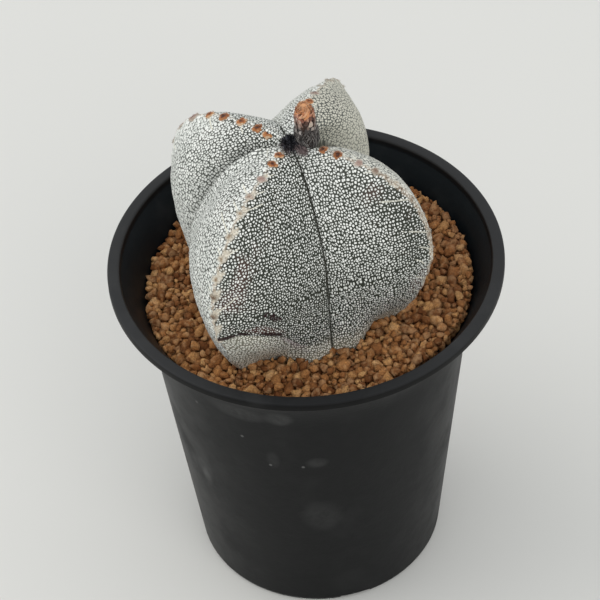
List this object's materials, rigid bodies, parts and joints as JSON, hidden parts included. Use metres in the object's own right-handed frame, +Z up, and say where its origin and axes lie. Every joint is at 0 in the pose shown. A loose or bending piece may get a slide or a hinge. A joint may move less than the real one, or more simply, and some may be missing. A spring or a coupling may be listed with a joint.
{
  "type": "potted bishop's cap cactus",
  "caption": "Ribbed bishop's cap cactus with pale flecked skin, standing in a flared black nursery pot filled with brown clay granules.",
  "frame": {"origin": "middle of the pot's foot, on the surface it stands on", "axes": "+Z up along the pot's axis, -Y towards the front as pictured"},
  "size_m": [0.12, 0.12, 0.1809],
  "materials": {
    "pot_plastic": "matt moulded black plastic with dusty smears",
    "clay_granules": "dull porous fired clay",
    "cactus_skin": "matt skin covered in pale flecks",
    "dried_flower": "dry papery scales and wool",
    "dark_wool": "dry black bristles"
  },
  "bodies": {
    "root": {"pot": "pot_plastic", "growing_medium": "clay_granules", "cactus": "cactus_skin", "dried_flower": "dried_flower", "dried_tuft": "dark_wool"}
  },
  "joints": []
}
